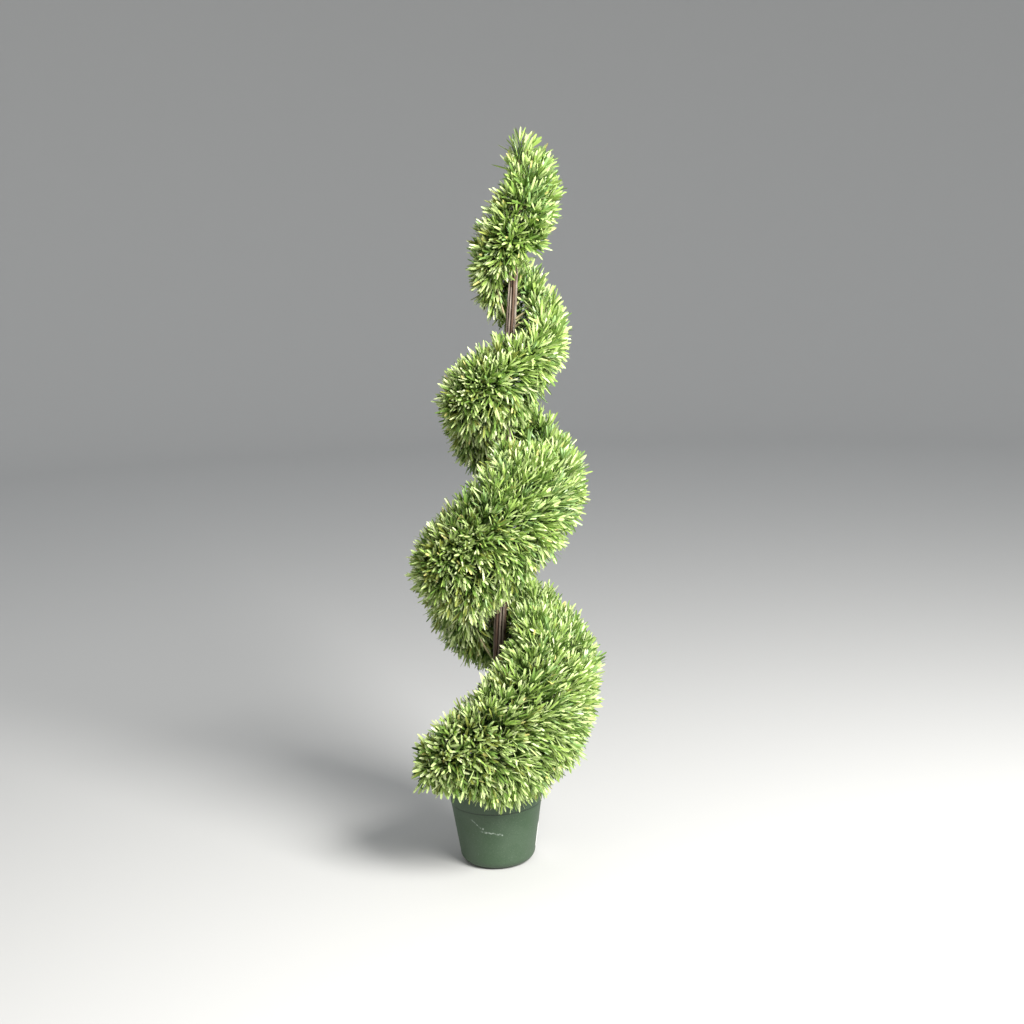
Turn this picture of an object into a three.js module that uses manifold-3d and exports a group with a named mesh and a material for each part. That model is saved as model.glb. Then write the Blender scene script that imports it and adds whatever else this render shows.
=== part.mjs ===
// Artificial spiral topiary in a plastic nursery pot, built whole with three.js.
// Millimetres, +Z up. The origin is the centre of the pot's flat underside. The trunk leans towards +X.
// The foliage is one band that winds round the trunk, cut into masses of a quarter turn.
import * as THREE from "three";
import { mergeVertices } from "three/addons/utils/BufferGeometryUtils.js";
import Module from "manifold-3d";

const TURN = 2 * Math.PI;
const GAP = 0.4; // between solids that would touch

// Pot
const POT_HEIGHT = 160;
const RIM_RADIUS = 97; // outside of the collar
const COLLAR_HEIGHT = 30;
const COLLAR_STEP = 1.6; // the collar stands out this far over the wall
const WALL_RADIUS_FOOT = 79; // outside, where the rounded foot begins
const FOOT_ROUND = 20;
const POT_WALL = 3;
const POT_SEGMENTS = 40;
const LIP_ROUND = 1.2;

// Set fill inside the pot
const FILL_TOP = 142;
const FILL_BOTTOM = POT_WALL + GAP;

// Blank sticker on the pot's wall
const LABEL = { low: 26, high: 80, turn: 0.026, sweep: 0.13, thick: 0.5, steps: 8 };

// Trunk: a thick stick with a ring of thin sticks bound round it
const TRUNK_FOOT = FILL_TOP + GAP;
const TRUNK_TOP = 1400;
const LEAN = THREE.MathUtils.degToRad(4.0);
const LEAN_START = 134; // height where the trunk crosses the pot's axis
const BOW = 6; // the trunk sags this far off its straight line at mid height
const CORE = { foot: 7.5, top: 4.7, flare: 1.5, sides: 8, steps: 14 };
const STICK = { foot: 3.3, top: 2.3, flare: 0.5, sides: 6, steps: 12 };
const STICKS = 9;
const STICK_TWIST = 0.3; // turns from foot to top
const STICK_STAGGER = 26; // each stick ends this much below another
const FLARE_HEIGHT = 60;

// Band of foliage
const BAND_TURNS = 3.82;
const BAND_START = 0.544; // turns from +X to the band's low end
const BAND_LOW = 224; // height of the low end's middle
const PITCH_LOW = 434;
const PITCH_HIGH = 213;
const RADIUS_LOW = 232;
const RADIUS_HIGH = 65;
const RADIUS_DIP = 18; // the taper is hollow by this much at mid height
const RADIUS_FRONT = 17; // further out towards -Y, nearer on the other side
const HALF_HEIGHT_LOW = 144;
const HALF_HEIGHT_HIGH = 76;
const END_LOW = 0.32; // turns over which the low end rounds off
const END_HIGH = 0.2;
const END_LEAST = 0.12; // share of the section left at the band's tips
const FULLER_ABOVE = 0.92; // the section's power: 1 is an ellipse, less is fuller
const FULLER_BELOW = 0.78;
const TRUNK_CLEARANCE = 1.2; // between the trunk and what stands round it
const POT_CLEARANCE = 2;
// Where the band is thicker or thinner: turns along it, spread in turns, and how much above, below and out.
// "near" is how much further its top rises beside the trunk.
const BULGES = [
  { at: 0.08, spread: 0.1, above: -6, below: -50, out: 24 },
  { at: 0.26, spread: 0.08, above: 38, below: 0, out: 0 },
  { at: 0.34, spread: 0.17, above: 0, below: 50, out: 0 },
  { at: 0.36, spread: 0.12, above: 0, below: 0, out: 0, near: 110 },
  { at: 0.47, spread: 0.14, above: -36, below: 0, out: 0 },
  { at: 0.64, spread: 0.1, above: -16, below: 0, out: 0 },
  { at: 0.8, spread: 0.08, above: 0, below: 34, out: 0 },
  { at: 1.0, spread: 0.12, above: -10, below: -48, out: 0 },
  { at: 1.12, spread: 0.07, above: 0, below: 44, out: 0 },
  { at: 1.2, spread: 0.13, above: 58, below: 0, out: 0, near: 30 },
  { at: 1.45, spread: 0.15, above: -12, below: -34, out: 8 },
  { at: 2.02, spread: 0.1, above: -26, below: -8, out: 0 },
  { at: 2.24, spread: 0.1, above: -52, below: 24, out: 0 },
  { at: 2.47, spread: 0.12, above: -34, below: 0, out: 0 },
  { at: 2.98, spread: 0.1, above: -24, below: 0, out: -4 },
  { at: 3.22, spread: 0.1, above: 24, below: 0, out: -4 },
  { at: 3.46, spread: 0.14, above: 8, below: -28, out: 5 },
  { at: 3.8, spread: 0.12, above: -20, below: 15, out: 8 },
];
const MASSES = 15;
const MASS = { sides: 14, steps: 10 };
// Unevenness of the band: share of the section, waves a turn along it, waves round it, phase
const LUMPS = [
  [0.036, 3, 2, 0.56],
  [0.024, 5, -3, 2.53],
  [0.016, 8, 1, 4.1],
  [0.014, 13, 4, 1.3],
];

// Boughs between trunk and foliage
const BOUGH = { foot: 2.6, tip: 1.6, sides: 6, steps: 5, drop: 1.22, reach: 0.62, sag: 6 };
const BOUGH_LOWEST = 190;

const wasm = await Module();
wasm.setup();

function material(color, roughness) {
  return new THREE.MeshStandardMaterial({ color, roughness, metalness: 0 });
}

const POT_PLASTIC = material(0x2f3f2c, 0.7);
const FILL_GREY = material(0x6e675c, 0.95);
const LABEL_WHITE = material(0xe6e6e2, 0.6);
const CORE_BROWN = material(0x5d4535, 0.8);
const STICK_TAN = material(0x9a8468, 0.85);
const BOUGH_TAN = material(0x8f8a5c, 0.8);
const FOLIAGE = material(0x7d9a4a, 0.9);

function mesh(name, geometry, look) {
  const made = new THREE.Mesh(geometry, look);
  made.name = name;
  return made;
}

// Moves every vertex of a geometry by a rule, then closes its seams.
function warp(geometry, rule) {
  const bare = geometry.clone();
  bare.deleteAttribute("normal");
  bare.deleteAttribute("uv");
  const place = bare.getAttribute("position");
  const point = new THREE.Vector3();
  for (let i = 0; i < place.count; i += 1) {
    point.fromBufferAttribute(place, i);
    rule(point);
    place.setXYZ(i, point.x, point.y, point.z);
  }
  return mergeVertices(bare, 1e-3);
}

// A closed rod of unit radius along +Z from 0 to 1, to be warped.
function unitRod(sides, steps) {
  return new THREE.CylinderGeometry(1, 1, 1, sides, steps).rotateX(Math.PI / 2).translate(0, 0, 0.5);
}

function solid(geometry) {
  return new wasm.Manifold(
    new wasm.Mesh({
      numProp: 3,
      vertProperties: geometry.attributes.position.array,
      triVerts: new Uint32Array(geometry.index.array),
    }),
  );
}

function geometryOf(made) {
  const cut = made.getMesh();
  const geometry = new THREE.BufferGeometry();
  geometry.setAttribute("position", new THREE.BufferAttribute(cut.vertProperties, 3));
  geometry.setIndex(new THREE.BufferAttribute(cut.triVerts, 1));
  return geometry;
}

// ---------------------------------------------------------------- pot

function wallRadius(height) {
  const high = POT_HEIGHT - COLLAR_HEIGHT;
  const share = (height - FOOT_ROUND) / (high - FOOT_ROUND);
  return THREE.MathUtils.lerp(WALL_RADIUS_FOOT, RIM_RADIUS - COLLAR_STEP, share);
}

function pot() {
  const outline = new THREE.Path();
  const footRadius = WALL_RADIUS_FOOT - FOOT_ROUND;
  const collarFoot = POT_HEIGHT - COLLAR_HEIGHT;
  outline.moveTo(0, 0);
  outline.lineTo(footRadius, 0);
  outline.absarc(footRadius, FOOT_ROUND, FOOT_ROUND, -Math.PI / 2, 0, false);
  outline.lineTo(wallRadius(collarFoot), collarFoot);
  outline.lineTo(RIM_RADIUS - 1, collarFoot + 1);
  outline.lineTo(RIM_RADIUS, POT_HEIGHT - LIP_ROUND);
  outline.lineTo(RIM_RADIUS - LIP_ROUND, POT_HEIGHT);
  outline.lineTo(RIM_RADIUS - POT_WALL, POT_HEIGHT);
  outline.lineTo(wallRadius(collarFoot) - POT_WALL, collarFoot);
  outline.lineTo(WALL_RADIUS_FOOT - POT_WALL, FOOT_ROUND);
  outline.absarc(footRadius, FOOT_ROUND, FOOT_ROUND - POT_WALL, 0, -Math.PI / 2, true);
  outline.lineTo(0, POT_WALL);
  return warp(new THREE.LatheGeometry(outline.getPoints(3), POT_SEGMENTS).rotateX(Math.PI / 2), () => {});
}

function fill() {
  const footRadius = WALL_RADIUS_FOOT - FOOT_ROUND;
  const collarFoot = POT_HEIGHT - COLLAR_HEIGHT;
  const inset = POT_WALL + GAP;
  const rimShare = (FILL_TOP - collarFoot) / COLLAR_HEIGHT;
  const rimInside = THREE.MathUtils.lerp(wallRadius(collarFoot), RIM_RADIUS, rimShare);
  const outline = new THREE.Path();
  outline.moveTo(0, FILL_BOTTOM);
  outline.lineTo(footRadius, FILL_BOTTOM);
  outline.absarc(footRadius, FOOT_ROUND, FOOT_ROUND - inset, -Math.PI / 2, 0, false);
  outline.lineTo(wallRadius(collarFoot) - inset, collarFoot);
  outline.lineTo(rimInside - inset, FILL_TOP);
  outline.lineTo(0, FILL_TOP);
  return warp(new THREE.LatheGeometry(outline.getPoints(3), POT_SEGMENTS).rotateX(Math.PI / 2), () => {});
}

function label() {
  const { low, high, turn, sweep, thick, steps } = LABEL;
  const sheet = new THREE.BoxGeometry(1, 1, 1, 1, steps, 1).translate(0.5, 0, 0.5);
  return warp(sheet, (point) => {
    const height = THREE.MathUtils.lerp(low, high, point.z);
    const radius = wallRadius(height) + GAP + thick * point.x;
    const angle = TURN * (turn + sweep * point.y);
    point.set(radius * Math.cos(angle), radius * Math.sin(angle), height);
  });
}

// ---------------------------------------------------------------- trunk

function axisX(height) {
  const share = (height - LEAN_START) / (TRUNK_TOP - LEAN_START);
  return (height - LEAN_START) * Math.tan(LEAN) - BOW * 4 * share * (1 - share);
}

function rodRadius(rod, height) {
  const share = (height - TRUNK_FOOT) / (TRUNK_TOP - TRUNK_FOOT);
  const flare = rod.flare * Math.max(0, 1 - (height - TRUNK_FOOT) / FLARE_HEIGHT) ** 2;
  return THREE.MathUtils.lerp(rod.foot, rod.top, share) + flare;
}

function bundleRadius(height) {
  return rodRadius(CORE, height) + GAP + 2 * rodRadius(STICK, height);
}

function core() {
  return warp(unitRod(CORE.sides, CORE.steps), (point) => {
    const height = THREE.MathUtils.lerp(TRUNK_FOOT, TRUNK_TOP, point.z);
    const radius = rodRadius(CORE, height);
    point.set(axisX(height) + radius * point.x, radius * point.y, height);
  });
}

function stick(index) {
  const top = TRUNK_TOP - STICK_STAGGER * (1 + ((index * 4) % STICKS));
  return warp(unitRod(STICK.sides, STICK.steps), (point) => {
    const height = THREE.MathUtils.lerp(TRUNK_FOOT, top, point.z);
    const share = (height - TRUNK_FOOT) / (TRUNK_TOP - TRUNK_FOOT);
    const angle = TURN * (index / STICKS + STICK_TWIST * share);
    const radius = rodRadius(STICK, height);
    const ring = rodRadius(CORE, height) + GAP + radius;
    const x = axisX(height) + ring * Math.cos(angle) + radius * point.x;
    point.set(x, ring * Math.sin(angle) + radius * point.y, height);
  });
}

// ---------------------------------------------------------------- foliage

// The band's section at a number of turns from its low end.
function section(turns) {
  const share = turns / BAND_TURNS;
  const angle = TURN * (BAND_START + turns);
  const low = Math.min(1, turns / END_LOW);
  const high = Math.min(1, (BAND_TURNS - turns) / END_HIGH);
  const rounding = Math.sqrt((1 - (1 - low) ** 2) * (1 - (1 - high) ** 2));
  const extra = { above: 0, below: 0, near: 0, out: -RADIUS_DIP * 4 * share * (1 - share) };
  for (const { at, spread, above, below, out, near = 0 } of BULGES) {
    const weight = rounding * Math.exp(-(((turns - at) / spread) ** 2));
    extra.above += above * weight;
    extra.below += below * weight;
    extra.near += near * weight;
    extra.out += out * weight;
  }
  return {
    angle,
    middle: BAND_LOW + PITCH_LOW * turns + ((PITCH_HIGH - PITCH_LOW) * turns * share) / 2,
    reach: THREE.MathUtils.lerp(RADIUS_LOW, RADIUS_HIGH, share) - RADIUS_FRONT * Math.sin(angle) + extra.out,
    halfHeight: THREE.MathUtils.lerp(HALF_HEIGHT_LOW, HALF_HEIGHT_HIGH, share),
    fullness: Math.max(END_LEAST, rounding),
    extra,
  };
}

function signedPower(value, power) {
  return Math.sign(value) * Math.abs(value) ** power;
}

function lumps(turns, around) {
  let share = 1;
  for (const [size, along, across, phase] of LUMPS) {
    share += size * Math.sin(TURN * along * turns + across * around + phase);
  }
  return share;
}

// A corner of the band: turns along it, direction round the section, share of the way out from its middle.
function bandPoint(turns, around, out, grow) {
  const { angle, middle, reach, halfHeight, fullness, extra } = section(turns);
  const inner = bundleRadius(middle) + TRUNK_CLEARANCE;
  const size = out * fullness * lumps(turns, around);
  const across = signedPower(Math.cos(around), FULLER_ABOVE);
  const up = signedPower(Math.sin(around), Math.sin(around) > 0 ? FULLER_ABOVE : FULLER_BELOW);
  const more = out * (up < 0 ? extra.below : extra.above + (extra.near * (1 - across)) / 2);
  const floor = POT_HEIGHT + POT_CLEARANCE - grow;
  const height = Math.max(floor, middle + up * (halfHeight * size + more + grow * out));
  const wide = (reach + inner) / 2 + across * (((reach - inner) / 2) * size + grow * out);
  const radius = Math.max(bundleRadius(height) + TRUNK_CLEARANCE - grow, wide);
  return { angle, radius, height };
}

function mass(index, grow = 0) {
  const from = (index * BAND_TURNS) / MASSES;
  const to = ((index + 1) * BAND_TURNS) / MASSES;
  return warp(unitRod(MASS.sides, MASS.steps), (point) => {
    const around = Math.atan2(-point.y, point.x);
    const out = Math.hypot(point.x, point.y);
    const turns = THREE.MathUtils.lerp(from, to, point.z);
    const { angle, radius, height } = bandPoint(turns, around, out, grow);
    const inset = ((GAP / 2 - grow) / radius) * (1 - 2 * point.z);
    point.set(
      axisX(height) + radius * Math.cos(angle + inset),
      radius * Math.sin(angle + inset),
      height,
    );
  });
}

// A bare limb from the trunk up into a mass's underside, ending where it enters.
function bough(index) {
  const { angle, middle, reach, halfHeight } = section(((index + 0.5) * BAND_TURNS) / MASSES);
  const foot = middle - BOUGH.drop * halfHeight;
  const tip = middle - 0.3 * halfHeight;
  const limb = warp(unitRod(BOUGH.sides, BOUGH.steps), (point) => {
    const height = THREE.MathUtils.lerp(foot, tip, point.z);
    const thick = THREE.MathUtils.lerp(BOUGH.foot, BOUGH.tip, point.z);
    const start = bundleRadius(foot) + TRUNK_CLEARANCE;
    const out = THREE.MathUtils.lerp(start, BOUGH.reach * reach, point.z);
    const sag = BOUGH.sag * 4 * point.z * (1 - point.z);
    const side = -thick * point.y;
    const x = axisX(height) + out * Math.cos(angle) - side * Math.sin(angle);
    const y = out * Math.sin(angle) + side * Math.cos(angle);
    point.set(x, y, height - sag + thick * point.x);
  });
  return geometryOf(solid(limb).subtract(solid(mass(index, GAP))));
}

// ---------------------------------------------------------------- whole plant

const topiary = new THREE.Group();
topiary.add(mesh("pot", pot(), POT_PLASTIC));
topiary.add(mesh("pot_fill", fill(), FILL_GREY));
topiary.add(mesh("label", label(), LABEL_WHITE));
topiary.add(mesh("trunk_core", core(), CORE_BROWN));
for (let i = 0; i < STICKS; i += 1) {
  topiary.add(mesh(`trunk_stick_${i + 1}`, stick(i), STICK_TAN));
}
for (let i = 0; i < MASSES; i += 1) {
  topiary.add(mesh(`foliage_${i + 1}`, mass(i), FOLIAGE));
  const { middle, halfHeight } = section(((i + 0.5) * BAND_TURNS) / MASSES);
  if (middle - BOUGH.drop * halfHeight > BOUGH_LOWEST) {
    topiary.add(mesh(`bough_${i + 1}`, bough(i), BOUGH_TAN));
  }
}

export default topiary;
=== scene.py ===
"""Artificial spiral topiary in a nursery pot: leaves, twigs, boughs, bundled sticks and pot."""

import math
from functools import lru_cache

import bpy
import numpy as np
from bpy.props import FloatProperty, FloatVectorProperty, IntProperty, PointerProperty
from mathutils import Matrix, Vector
from mathutils.bvhtree import BVHTree


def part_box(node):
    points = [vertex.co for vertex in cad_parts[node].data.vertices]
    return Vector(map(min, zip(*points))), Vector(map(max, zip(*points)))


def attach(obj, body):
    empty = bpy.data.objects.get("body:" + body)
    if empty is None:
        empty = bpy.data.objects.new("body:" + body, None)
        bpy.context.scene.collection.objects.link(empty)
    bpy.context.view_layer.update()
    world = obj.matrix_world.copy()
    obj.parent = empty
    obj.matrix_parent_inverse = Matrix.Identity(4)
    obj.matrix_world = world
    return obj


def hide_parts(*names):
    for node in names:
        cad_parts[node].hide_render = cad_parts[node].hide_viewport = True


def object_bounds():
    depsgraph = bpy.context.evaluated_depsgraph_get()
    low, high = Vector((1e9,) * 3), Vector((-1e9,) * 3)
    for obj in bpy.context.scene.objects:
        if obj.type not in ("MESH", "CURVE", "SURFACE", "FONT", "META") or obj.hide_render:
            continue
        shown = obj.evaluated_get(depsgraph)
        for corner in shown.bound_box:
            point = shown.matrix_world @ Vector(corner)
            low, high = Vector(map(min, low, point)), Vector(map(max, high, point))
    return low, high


bl_info = {
    "name": "Spiral Topiary",
    "version": (1, 0, 0),
    "blender": (4, 5, 0),
    "location": "3D View > Sidebar > Topiary",
    "description": "Leafy band, bundled sticks and nursery pot of an artificial spiral topiary",
    "category": "Object",
}

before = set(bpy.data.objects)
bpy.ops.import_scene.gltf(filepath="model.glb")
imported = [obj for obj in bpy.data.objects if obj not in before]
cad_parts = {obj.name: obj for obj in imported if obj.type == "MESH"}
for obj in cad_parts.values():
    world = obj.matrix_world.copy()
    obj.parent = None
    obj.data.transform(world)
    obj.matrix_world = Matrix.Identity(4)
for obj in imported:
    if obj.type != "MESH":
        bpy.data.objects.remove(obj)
CAD_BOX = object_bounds()
POT_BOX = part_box("pot")
FILL_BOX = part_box("pot_fill")
MASSES = sorted((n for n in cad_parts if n.startswith("foliage_")), key=lambda n: int(n[8:]))
STICKS = sorted(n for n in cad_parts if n.startswith("trunk_stick_"))
BOUGHS = sorted((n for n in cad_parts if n.startswith("bough_")), key=lambda n: int(n[6:]))
SEED = 20
TURN = 2 * math.pi
UP = np.array((0.0, 0.0, 1.0))
FULL_PIECE = 198000  # triangles in one joined piece of leaves
CLEAR = 0.004  # metres between a leaf and the trunk or the pot's wall
BARE_WALL = 0.012  # metres from the bundle within which a mass's inner wall grows no sprays
BARE_JOINT = 0.0016  # metres from the next mass within which a cut face grows none
TRIES = 14  # random spots tried for each square of the spacing
RECENT = 900  # the spots kept last, which hold every neighbour of a new one
BUNDLE_REACH = 2.15  # radii of a thin stick from the thick stick's bark to the bundle's outside


# ---------------------------------------------------------------- sizes and colours


def setting(kind, **limits):
    """A function that makes settings of one kind from a name, a description and a default."""

    def make(name, description, *default, **more):
        value = default if len(default) > 1 else default[0]
        return kind(name=name, description=description, default=value, **limits, **more)

    return make


length = setting(FloatProperty, min=0, unit="LENGTH", precision=4)
share = setting(FloatProperty, min=0)
power = setting(FloatProperty, min=0, unit="POWER")
angle = setting(FloatProperty, subtype="ANGLE", unit="ROTATION")
position = setting(FloatVectorProperty, subtype="XYZ", unit="LENGTH")
colour = setting(FloatVectorProperty, min=0, max=1, subtype="COLOR")
number = setting(IntProperty, min=1)


class TopiaryStage(bpy.types.PropertyGroup):
    """Camera, floor and lamps."""

    stand: position("Camera place", "Where the camera stands", 0, -2.898, 1.245)
    yaw: angle("Yaw", "Camera turned to the right", math.radians(1.07))
    pitch: angle("Pitch", "Camera turned down", math.radians(9.89))
    roll: angle("Roll", "Camera rolled", math.radians(-2.0))
    lens: FloatProperty(name="Lens", description="Focal length", default=50.8, min=1, unit="CAMERA")
    floor_width: length("Floor", "Width of the floor, which curves up all round", 22)
    floor_bend: length("Floor bend", "Radius of that curve", 4)
    floor_gap: length("Floor gap", "How far the floor lies below the pot", 0.0005)
    floor: colour("Floor colour", "Pale floor", 0.56, 0.56, 0.55)
    key_power: power("Key lamp", "Large lamp at the right", 285)
    key_place: position("Key lamp place", "Where the large lamp hangs", 1.7, -2.2, 2.5)
    fill_power: power("Fill lamp", "Warm lamp at the left", 6)
    fill_place: position("Fill lamp place", "Where the warm lamp hangs", -2.4, -1.6, 1.5)
    sky: share("Sky", "Strength of the light from all round", 0.56)


class TopiaryPot(bpy.types.PropertyGroup):
    """Nursery pot, what it is filled with, and its label."""

    height: length("Height", "Height of the pot", POT_BOX[1].z)
    rim_radius: length("Rim radius", "Outer radius at the lip", POT_BOX[1].x)
    collar: length("Collar", "Height of the collar below the lip", 0.030)
    collar_step: length("Collar step", "How far the collar stands out", 0.0016)
    foot_radius: length("Foot radius", "Outer radius above the rounded foot", 0.079)
    foot_round: length("Foot rounding", "Radius of the rounded foot", 0.020)
    wall: length("Wall", "Thickness of the wall", 0.003)
    fill_lumps: length("Fill lumps", "Unevenness of the set fill", 0.0012)
    label_corner: length("Label corner", "Radius of the label's corners", 0.006)
    plastic: colour("Plastic", "Moulded pot plastic", 0.040, 0.078, 0.038)
    plastic_worn: colour("Worn plastic", "Rubbed and dusty plastic", 0.060, 0.098, 0.058)
    scratch: colour("Scratch", "Scraped plastic", 0.36, 0.42, 0.36)
    # Painted shade: a dark band round the recess under the collar, its half height and colour.
    groove_shade_height: length("Groove height", "Half height of the dirty groove under the collar", 0.0022)
    groove_shade: colour("Groove", "Dirt under the collar", 0.012, 0.022, 0.012)
    fill: colour("Fill", "Set fill", 0.21, 0.19, 0.16)
    paper: colour("Paper", "Label paper", 0.82, 0.82, 0.80)


class TopiaryTrunk(bpy.types.PropertyGroup):
    """Bundle of sticks and the boughs that leave it."""

    core_steps: number("Core rings", "Rings up the thick stick", 150)
    stick_steps: number("Stick rings", "Rings up each thin stick", 110)
    relief: share("Relief", "Depth of the bark's ridges as a share of the radius", 0.07)
    knots: share("Knots", "Swelling at a knot as a share of the radius", 0.22)
    slim: share("Slim", "Radius of the slimmer sticks as a share of their solids'", 0.80)
    core_bark: colour("Core bark", "Smooth brown bark", 0.105, 0.062, 0.040)
    # Painted highlight: the pale colour on the brown bark's ridges.
    core_ridge_highlight: colour("Core ridges", "Worn high places of the brown bark", 0.260, 0.180, 0.130)
    stick_bark: colour("Stick bark", "Pale dry bark", 0.200, 0.155, 0.120)
    # Painted highlight: the pale colour on the pale bark's ridges.
    stick_ridge_highlight: colour("Stick ridges", "Worn high places of the pale bark", 0.560, 0.500, 0.430)
    # Painted shade: the near-black colour in the bark's grooves.
    groove_shade: colour("Groove", "Dirt in the bark's grooves", 0.022, 0.015, 0.011)
    bough_foot: length("Bough foot", "Radius of a bough where it leaves the trunk", 0.0026)
    bough_tip: length("Bough tip", "Radius of a bough at its tip", 0.0013)
    bough_bark: colour("Bough", "Moulded stem near the trunk", 0.330, 0.270, 0.150)
    bough_green: colour("Bough, green", "Moulded stem further out", 0.210, 0.270, 0.090)


class TopiaryLeaves(bpy.types.PropertyGroup):
    """Sprays of leaves and the twigs that carry them."""

    spacing: length("Spacing", "Least distance between the tips of sprays", 0.0184)
    depth: length("Depth", "How far a spray's stem ends below the band's outline", 0.0300)
    ragged: length("Raggedness", "How much that depth varies", 0.0055)
    sweep: angle("Sweep", "Sprays lean round the trunk, counter-clockwise from above", math.radians(44))
    lift: share("Lift", "How far all sprays turn up", 0.16)
    fan: share("Fan", "How far the topmost sprays, which point up, lean out", 0.52)
    fan_start: length("Fan start", "Height where sprays begin to point up and out", 1.17)
    tufts: share("Tufts", "How far neighbouring sprays lean together", 0.15)
    looseness: share("Looseness", "How far each spray strays", 0.08)
    by_trunk: length("By the trunk", "How much further sprays reach beside the low trunk", 0.024)
    stray: length("Stray", "Furthest that a leaf may pass the sides of the solids' box", 0.017)
    whorls: number("Whorls", "Rings of leaves on a spray", 5)
    whorl_pitch: length("Whorl pitch", "Distance between rings of leaves", 0.0115)
    leaf_length: length("Leaf length", "Middle length of a leaf", 0.0430)
    leaf_width: length("Leaf width", "Middle width of a leaf", 0.0043)
    coarse: share("Coarse", "How much wider leaves are at the band's low left end", 0.35)
    open_sprigs: share("Open sprigs", "Share of leaves that those sprigs lack", 0.40)
    low_end: length("Low end", "Height below which sprigs grow coarse and open", 0.38)
    twig_foot: length("Twig foot", "Radius of a twig where it forks", 0.0013)
    twig_tip: length("Twig tip", "Radius of a twig at its tip", 0.0008)
    twig_bark: colour("Twig", "Moulded twig", 0.240, 0.230, 0.100)
    twig_green: colour("Twig, green", "Moulded twig among its leaves", 0.120, 0.210, 0.050)
    # Fresh and olive are the leaves' own tints. As painted light and shade, fresh is dealt more to the lit
    # right and olive to the left.
    fresh: colour("Fresh", "Leaf", 0.320, 0.460, 0.105)
    middling: colour("Middling", "Leaf", 0.150, 0.260, 0.048)
    olive: colour("Olive", "Leaf", 0.265, 0.310, 0.064)
    # Painted sheen: a bluer green standing for cool reflected light, dealt mostly to the lit right.
    cool_sheen: colour("Cool", "Leaf", 0.240, 0.390, 0.130)
    # Painted shade: a dark green for inner leaves and leaf feet, most on the left.
    deep_shade: colour("Deep", "Inner leaf", 0.036, 0.078, 0.013)
    # The leaves' own lighter upper parts and tips, made whiter as painted sheen.
    pale: colour("Pale", "Upper part of a leaf", 0.520, 0.650, 0.250)
    cream_and_sheen: colour("Cream", "Tip of a leaf", 0.700, 0.780, 0.420)
    straw: colour("Straw", "Yellowed tip of a leaf", 0.700, 0.640, 0.230)


# ---------------------------------------------------------------- meshes from arrays


def add_mesh(name, points, faces, finishes, tints=None):
    """A smooth mesh. faces is a list of arrays of corners, a row a face, and tints each face's finish."""
    corners = np.concatenate([f.ravel() for f in faces])
    sizes = np.concatenate([np.full(len(f), f.shape[1]) for f in faces])
    mesh = bpy.data.meshes.new(name)
    mesh.vertices.add(len(points))
    mesh.vertices.foreach_set("co", np.asarray(points, np.float32).ravel())
    mesh.loops.add(len(corners))
    mesh.loops.foreach_set("vertex_index", corners.astype(np.int32))
    mesh.polygons.add(len(sizes))
    mesh.polygons.foreach_set("loop_start", (np.cumsum(sizes) - sizes).astype(np.int32))
    for finish in finishes:
        mesh.materials.append(finish)
    if tints is not None:
        mesh.polygons.foreach_set("material_index", np.concatenate(tints).astype(np.int32))
    mesh.polygons.foreach_set("use_smooth", np.ones(len(sizes), bool))
    mesh.update(calc_edges=True)
    made = bpy.data.objects.new(name, mesh)
    bpy.context.scene.collection.objects.link(made)
    return made


def stand_for(piece, slot, *nodes):
    """The piece rides with the plant and is shown in place of the nodes; the slot is not used."""
    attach(piece, "root")
    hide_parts(*nodes)


def unit(vectors):
    """Each vector made one long."""
    return vectors / np.maximum(np.linalg.norm(vectors, axis=-1, keepdims=True), 1e-12)


def square_to(directions):
    """A vector at right angles to each direction."""
    lean = np.where(np.abs(directions[..., 2:]) < 0.8, UP, (1.0, 0.0, 0.0))
    return unit(np.cross(directions, lean))


def polar(radius, turn, height):
    """Points (..., xyz) from a radius, a bearing and a height."""
    return np.stack(np.broadcast_arrays(radius * np.cos(turn), radius * np.sin(turn), height), -1)


def skin(index):
    """Quads between neighbouring rings of points, from their numbers (..., ring, corner)."""
    after = np.roll(index, -1, axis=-1)
    corners = index[..., :-1, :], after[..., :-1, :], after[..., 1:, :], index[..., 1:, :]
    return np.stack(corners, -1)


def tubes(paths, radii, sides, relief=None):
    """Points and side faces of tubes round paths (tube, step, xyz) with radii (tube, step)."""
    count, steps = radii.shape
    along = unit(np.gradient(paths, axis=1))
    across = np.empty_like(paths)
    across[:, 0] = square_to(along[:, 0])
    for i in range(1, steps):
        kept = across[:, i - 1] - along[:, i] * np.sum(across[:, i - 1] * along[:, i], -1, keepdims=True)
        across[:, i] = unit(kept)
    other = np.cross(along, across)
    turn = TURN * np.arange(sides) / sides
    out = across[:, :, None] * np.cos(turn)[:, None] + other[:, :, None] * np.sin(turn)[:, None]
    wide = radii[:, :, None] * (1 if relief is None else relief)
    points = paths[:, :, None] + out * np.broadcast_to(wide, (count, steps, sides))[..., None]
    index = np.arange(count * steps * sides).reshape(count, steps, sides)
    return points.reshape(-1, 3), skin(index), index


def waves(where, seed, count=5):
    """Smooth unevenness from -1 to 1 at points, one number each: a sum of sine waves."""
    rng = np.random.default_rng(seed)
    directions = unit(rng.normal(size=(count, 3)))
    phases = rng.uniform(0, TURN, count)
    stretch = rng.uniform(0.6, 1.7, count)
    return np.sin((where @ directions.T) * stretch + phases).mean(-1) * 1.6


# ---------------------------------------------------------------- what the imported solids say


def node_points(name):
    """Corners of a node's solid."""
    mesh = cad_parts[name].data
    points = np.empty(len(mesh.vertices) * 3, np.float32)
    mesh.vertices.foreach_get("co", points)
    return points.reshape(-1, 3).astype(float)


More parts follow.
